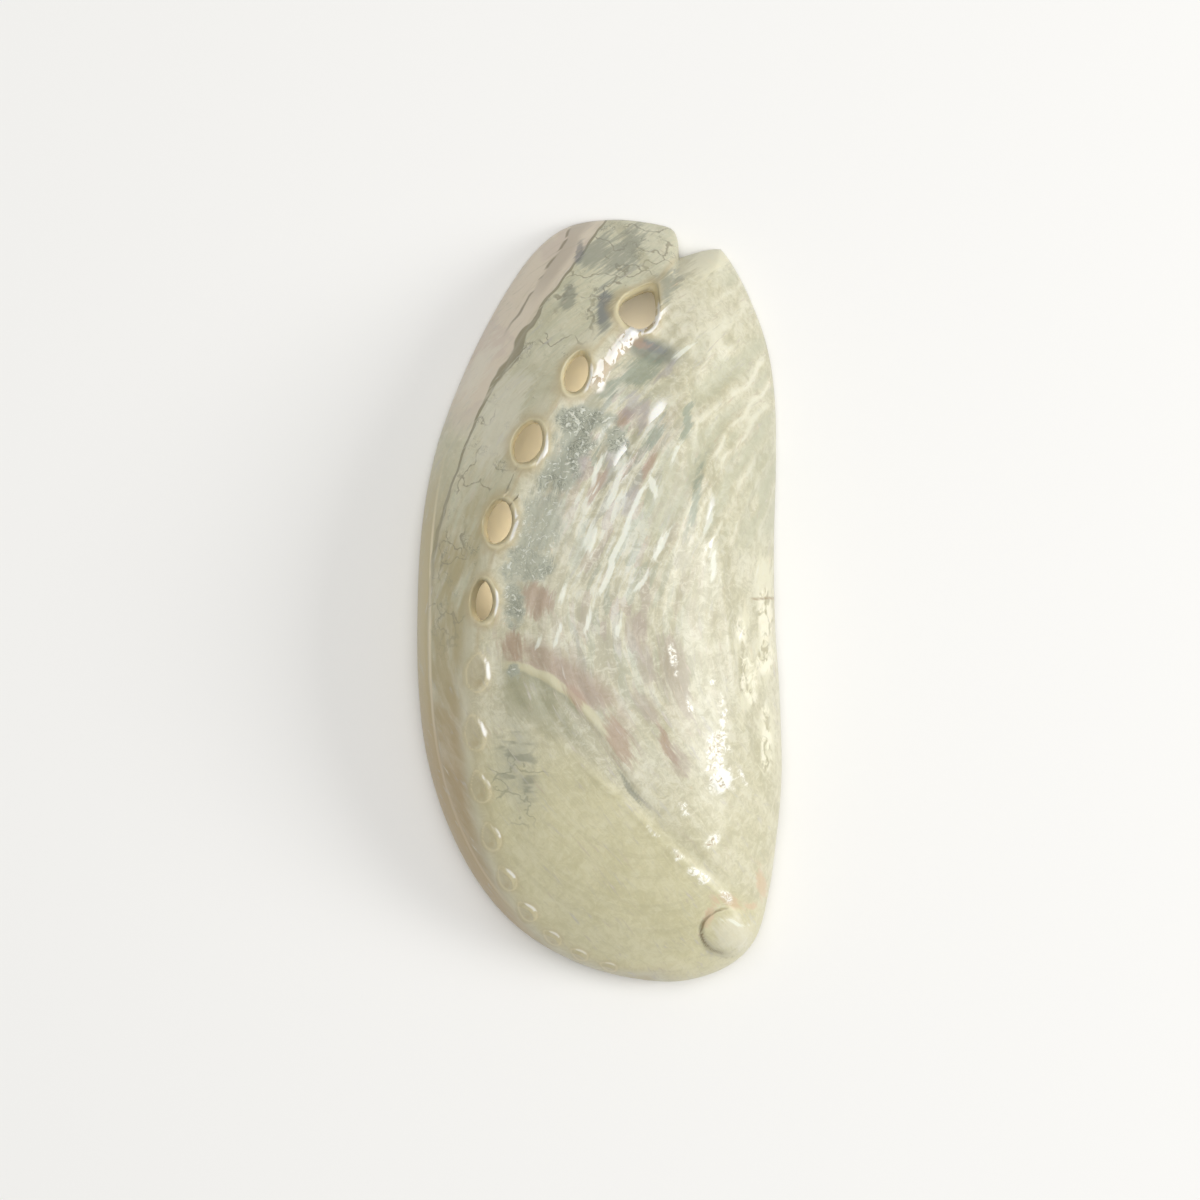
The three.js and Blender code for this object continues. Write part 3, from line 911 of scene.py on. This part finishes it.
# Plates: cells 0.7 mm wide and 2.4 mm long, each with its own three chance numbers
scaled = add_node(tree, "ShaderNodeMapping", {"Vector": along, "Scale": (1.5, 0.42, 1.0)})
bent = add_node(tree, "ShaderNodeVectorMath", {
    0: noises["bend"]["Color"], 1: (0.9, 0.9, 0.9), 2: scaled.outputs[0],
}, operation="MULTIPLY_ADD").outputs[0]
chance = add_node(tree, "ShaderNodeTexVoronoi", {
    "Vector": bent, "Scale": 1.0,
}, voronoi_dimensions="2D").outputs["Color"]
chances = add_node(tree, "ShaderNodeSeparateColor", {"Color": chance}).outputs
pattern.update(zip(("first_chance", "second_chance", "third_chance"), chances))

# Faint growth arcs on the smooth body, about 1 mm apart
ring_place = add_node(tree, "ShaderNodeCombineXYZ", {
    "X": mark["margin"], "Y": pattern["clouds"],
}).outputs[0]
pattern["rings"] = add_node(tree, "ShaderNodeTexNoise", {
    "Vector": ring_place, "Scale": 0.9, "Detail": 4.0, "Roughness": 0.7,
}, noise_dimensions="2D").outputs["Fac"]

# The pale line wavers, and each tint is broken up by fine streaks and by the plates
pattern["ragged_line"] = add_node(tree, "ShaderNodeMath", {
    0: pattern["wobble"], 1: 0.9, 2: mark["pale_line"],
}, operation="MULTIPLY_ADD").outputs[0]
for number, name in enumerate(TINTS):
    streaked = add_node(tree, "ShaderNodeMath", {
        0: pattern["fine"], 1: 1.1, 2: mark[name],
    }, operation="MULTIPLY_ADD").outputs[0]
    pattern["broken_" + name] = add_node(tree, "ShaderNodeMath", {
        0: chances[number % 3], 1: 0.35, 2: streaked,
    }, operation="MULTIPLY_ADD").outputs[0]

# Each range below eases a pattern from 0 at its first number to 1 at its second. Left of the
# row, the strip outside the flank fold is lilac at the front and brown further back
left = [("right_of_row", -0.6, -2.2)]
right = [("right_of_row", -1.4, 0.4)]
flank = [("flank_fold", 0.3, -0.3), ("right_of_row", 1.0, 0.0)]
between = left + [("flank_fold", -0.3, 0.6), ("height", -9.0, 1.0)]
front = [("height", 16.0, 22.0)]
back = [("height", 18.0, 4.0)]
facet = [("inner_fold", -0.1, 0.2), ("inner_fold", 1.6, 0.9), ("height", 30.0, 34.0)]
fold_line = [("flank_fold", -1.1, -0.7), ("flank_fold", 1.1, 0.7), ("height", -6.0, 14.0)]
inner_line = [("inner_fold", -0.2, -0.02), ("inner_fold", 0.24, 0.06), ("height", 27.0, 30.0)]
crack_line = [("cracks", 0.035, 0.01), ("clouds", 0.45, 0.55)]
rim_line = [("margin", 1.75, 1.55), ("margin", 1.3, 1.45)]
late_line = [("late_fold", -0.2, 0.2), ("late_fold", 1.4, 0.7)]

# The pale line where one growth stage met the next, with rose above it and green below
near_pale = [("pale_run", 0.0, 1.0), ("from_spire", 22.0, 28.0)]
above_pale = near_pale + [("ragged_line", 0.7, 1.0), ("ragged_line", 4.4, 2.4)]
below_pale = near_pale + [("ragged_line", 0.4, 0.0), ("ragged_line", -4.4, -2.6)]
pale = near_pale + [("ragged_line", 1.1, 0.8), ("ragged_line", -0.1, 0.2)]

flamed = [("lustre", 0.0, 1.0)]
body = [("lustre", 0.2, 0.0)]
frost = [("frost", 0.0, 1.0)]
wrinkle = [("wrinkle", 0.0, 1.0)]
rippled = [("rippled", 0.0, 1.0)]

# Coats of colour, first to last: the colour, how strong it gets, and the ranges it shows in
coats = [
    ("#d8d4bd", 0.60, [("clouds", 0.45, 0.65)]),
    ("#b8b394", 0.50, [("clouds", 0.50, 0.35)]),
    ("#aea98c", 0.50, left + [("specks", 0.52, 0.66)]),
    ("#dedac6", 0.50, left + [("specks", 0.48, 0.36)]),
    ("#c3c4aa", 0.60, left + [("fine", 0.35, 0.65)]),
    ("#a99b6e", 0.75, left + back + [("broad", 0.3, 0.6)]),
    ("#d9cdb9", 0.95, flank + front + [("broad", 0.15, 0.4)]),
    ("#cdbfb0", 0.60, flank + front + [("clouds", 0.5, 0.56)]),
    ("#bdb2a0", 0.80, flank + facet),
    ("#b3a67c", 0.60, flank + back + [("broad", 0.6, 0.4)]),
    ("#c3b68d", 1.00, left + back + [("margin", 1.6, 1.4)]),
    ("#ddd3b2", 1.00, left + back + rim_line),
    ("#ac8f66", 0.55, left + [("height", -2.0, -20.0), ("height", -39.5, -33.0)]),
    ("#8e876c", 0.85, fold_line),
    ("#8e846e", 0.85, inner_line + [("broad", 0.42, 0.52)]),
    ("#8f8872", 0.70, between + crack_line),
    ("#8f8c78", 0.75, between + [("wobble", 0.56, 0.66), ("worms", 0.05, 0.015)]),
    ("#b5b092", 0.50, late_line + [("broad", 0.3, 0.5)]),
    ("#a39e86", 0.85, flamed + [("broad", 0.46, 0.62)]),
    ("#d9dace", 0.90, flamed + [("broad", 0.50, 0.38)]),
    ("#b09a94", 0.45, flamed + [("first_chance", 0.66, 0.72)]),
    ("#98a695", 0.40, flamed + [("second_chance", 0.68, 0.74)]),
    # Painted highlight: near-white fine streaks along the grain in the flames
    ("#eceee6", 0.38, flamed + [("fine", 0.57, 0.65)]),
    ("#aea98c", 0.40, right + [("specks", 0.50, 0.60)]),
    ("#e3e0cc", 0.40, right + [("specks", 0.50, 0.40)]),
    ("#a18774", 0.65, above_pale + [("clouds", 0.36, 0.56)]),
    ("#97977a", 0.60, below_pale + [("clouds", 0.3, 0.5)]),
    ("#c6c09e", 0.90, pale),
    ("#d3cc9f", 0.50, body + right + [("height", -8.0, -22.0)]),
    ("#aaa482", 0.14, body + [("rings", 0.52, 0.66)]),
    # Painted light on the ripples: darker in their troughs as painted shade, lighter along their crests
    # as painted highlight
    ("#bcbda4", 0.50, rippled + [("ripple", 0.2, 0.7)]),
    ("#e6e3cd", 0.60, rippled + [("ripple", 0.24, 0.04), ("clouds", 0.4, 0.55)]),
    ("#b4b49c", 0.35, rippled + [("height", 22.0, 16.0), ("margin", 6.0, 3.0)]),
    # Painted shade: dark grey-green in the hollow behind the front crest, over its own greenish colour
    ("#7d8072", 0.82, [("hollow", 0.2, 0.8)]),
    ("#aeae9a", 0.60, [("dashes", 0.0, 0.9), ("wobble", 0.3, 0.55)]),
    ("#86866f", 0.42, [("dashes", 0.06, 0.25), ("cracks", 0.035, 0.01), ("height", -14.0, -17.0)]),
    ("#8b8c79", 0.55, [("dashes", 0.1, 0.7), ("strokes", 0.54, 0.66)]),
]
coats += [
    (code, strength, [("broken_" + name, 0.9, 1.4)])
    for name, (code, strength, _) in TINTS.items()
]
coats += [
    ("#b9bba8", 0.80, frost),
    ("#a2a594", 0.50, [("etching", 0.0, 1.0)]),
    ("#797c6e", 0.75, [("etching", 0.0, 1.0), ("wobble", 0.38, 0.52), ("worms", 0.055, 0.02)]),
    ("#dcddd0", 0.80, frost + [("grains", 0.42, 0.36)]),
    ("#a69d7c", 0.60, wrinkle + [("puckers", 0.43, 0.36)]),
    ("#f2edd6", 0.85, wrinkle + [("puckers", 0.46, 0.54)]),
    ("#a3906f", 0.80, [("edge_crack", 0.0, 1.0)]),
    # Painted highlight: a soft white glow and white specks over the hot spot and the ridge to the spire;
    # the brown crackle between them is the shell's own colour
    ("#e6e3d2", 0.50, [("crackle_and_highlight", 0.1, 0.8)]),
    ("#b09878", 0.80, [("crackle_and_highlight", 0.4, 0.9), ("grains", 0.43, 0.39)]),
    ("#fbf9ee", 0.85, [("crackle_and_highlight", 0.15, 0.6), ("grains", 0.50, 0.53)]),
    ("#b8a77e", 0.60, [("halo", 0.0, 1.0)]),
    ("#d9cfab", 0.80, [("lip", 0.2, 0.9)]),
    ("#c9a888", 0.50, [("crest", 0.0, 1.0), ("fine", 0.35, 0.5)]),
    # Painted highlights: white flecks along the crumpled crest
    ("#fffaf0", 0.95, [("crest", 0.2, 0.5), ("puckers", 0.48, 0.52)]),
    # Painted glints: near-white on some of the flashing plates
    ("#fbfaf3", 0.90, [("sparkle", 0.0, 1.0), ("third_chance", 0.55, 0.62)]),
    # Painted highlight: near-white crescent on the right rim of each pore
    ("#fffdf6", 0.85, [("crescent", 0.2, 0.8)]),
    ("#877654", 0.80, [("suture", 0.1, 0.9)]),
]
colour = add_node(tree, "ShaderNodeRGB").outputs[0]
colour.default_value = linear("#cdc8ac")
eased = {}
for code, strength, ranges in coats:
    share = strength
    for part in ranges:
        if part not in eased:
            source, low, high = part
            eased[part] = add_node(tree, "ShaderNodeMapRange", {
                "Value": pattern[source], "From Min": low, "From Max": high,
            }, interpolation_type="SMOOTHSTEP").outputs[0]
        share = add_node(tree, "ShaderNodeMath", {
            0: eased[part], 1: share,
        }, operation="MULTIPLY").outputs[0]
    colour = add_node(tree, "ShaderNodeMix", {
        0: share, 6: colour, 7: linear(code),
    }, data_type="RGBA").outputs[2]

# Plates tilt by up to 3 degrees in the flames, and by 12 more where they flash
tilt = add_node(tree, "ShaderNodeVectorMath", {0: chance, 1: (0.5, 0.5, 0.5)}, operation="SUBTRACT")
flamed_tilt = add_node(tree, "ShaderNodeMath", {0: mark["lustre"], 1: 0.1}, operation="MULTIPLY")
amount = add_node(tree, "ShaderNodeMath", {
    0: mark["sparkle"], 1: 0.42, 2: flamed_tilt.outputs[0],
}, operation="MULTIPLY_ADD")
lean = add_node(tree, "ShaderNodeVectorMath", {
    0: tilt.outputs[0], "Scale": amount.outputs[0],
}, operation="SCALE")
facing = add_node(tree, "ShaderNodeNewGeometry").outputs["Normal"]
turned = add_node(tree, "ShaderNodeVectorMath", {0: facing, 1: lean.outputs[0]}, operation="ADD")
normal = add_node(tree, "ShaderNodeVectorMath", {
    0: turned.outputs[0],
}, operation="NORMALIZE").outputs[0]

# Fine relief: how deep in millimetres, and how much of that shows
for name, deep, shown in (
    ("fine", 0.05, 0.5),
    ("specks", 0.06, 0.5),
    ("grains", 0.08, mark["frost"]),
):
    normal = add_node(tree, "ShaderNodeBump", {
        "Height": pattern[name], "Distance": deep * MM, "Strength": shown, "Normal": normal,
    }).outputs[0]
roughness = add_node(tree, "ShaderNodeMapRange", {"Value": mark["frost"], "To Min": 0.4, "To Max": 0.62})
gloss = add_node(tree, "ShaderNodeMapRange", {"Value": mark["gloss"], "To Min": 0.12, "To Max": 0.8})
surface = add_node(tree, "ShaderNodeBsdfPrincipled", {
    "Base Color": colour, "IOR": 1.53, "Normal": normal, "Roughness": roughness.outputs[0],
    "Subsurface Weight": 0.2, "Subsurface Radius": (1.0, 0.85, 0.6), "Subsurface Scale": 0.0015,
    "Coat Weight": gloss.outputs[0], "Coat Roughness": 0.14,
})
add_node(tree, "ShaderNodeOutputMaterial", {"Surface": surface.outputs[0]})
shell_mesh.materials.append(nacre)

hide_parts("shell")
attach(shell, "root")


# ---------------------------------------------------------------- floor, light and camera
# A pale floor, a soft light low on the right, a broader one overhead, and a camera straight
# above with a long lens.

def add_light(name, place, width, power):
    """A square soft light at a place in metres, turned to face the shell."""
    data = bpy.data.lights.new(name, "AREA")
    data.size = width
    data.energy = power
    light = bpy.data.objects.new(name, data)
    bpy.context.scene.collection.objects.link(light)
    light.location = place
    light.rotation_euler = light.location.to_track_quat("Z", "Y").to_euler()
    return light


add_light("window", (0.62, -0.04, 0.33), 0.3, 2.4)
add_light("overhead", (0.0, 0.1, 0.9), 0.8, 4.6)

# Thin nacre lets daylight through to the hollow: a faint warm lamp under the dome, facing
# down and turned along the row, stands in for that, and can't be seen itself
glow = add_light("glow", (-0.0017, 0.0128, 0.0035), 0.005, 0.0016)
glow.data.shape = "RECTANGLE"
glow.data.size_y = 0.031
glow.rotation_euler = (0, 0, math.radians(-28))
glow.data.color = (1.0, 0.82, 0.52)
glow.visible_camera = False

world = bpy.data.worlds.new("studio")
bpy.context.scene.world = world
world.use_nodes = True
world.node_tree.nodes["Background"].inputs["Color"].default_value = (1, 1, 1, 1)
world.node_tree.nodes["Background"].inputs["Strength"].default_value = 0.35

FLOOR_HALF = 1.5
floor_mesh = bpy.data.meshes.new("floor")
floor_corners = [(-FLOOR_HALF, -FLOOR_HALF, 0), (FLOOR_HALF, -FLOOR_HALF, 0)]
floor_corners += [(FLOOR_HALF, FLOOR_HALF, 0), (-FLOOR_HALF, FLOOR_HALF, 0)]
floor_mesh.from_pydata(floor_corners, [], [(0, 1, 2, 3)])
floor = bpy.data.objects.new("floor", floor_mesh)
bpy.context.scene.collection.objects.link(floor)
paper = bpy.data.materials.new("pale_paper")
paper.use_nodes = True
paper.node_tree.nodes["Principled BSDF"].inputs["Base Color"].default_value = linear("#f4f3f0")
paper.node_tree.nodes["Principled BSDF"].inputs["Roughness"].default_value = 0.9
floor_mesh.materials.append(paper)

CAMERA_HEIGHT = 0.62
FRAME_OVER_LENGTH = 30 / 19
camera_data = bpy.data.cameras.new("camera")
camera = bpy.data.objects.new("camera", camera_data)
bpy.context.scene.collection.objects.link(camera)
camera.location = (0, 0, CAMERA_HEIGHT)
shell_length = (cad_high[1] - cad_low[1]) * MM
frame_width = shell_length * FRAME_OVER_LENGTH
camera_data.lens = camera_data.sensor_width * CAMERA_HEIGHT / frame_width
bpy.context.scene.camera = camera
bpy.context.scene.view_settings.view_transform = "Standard"
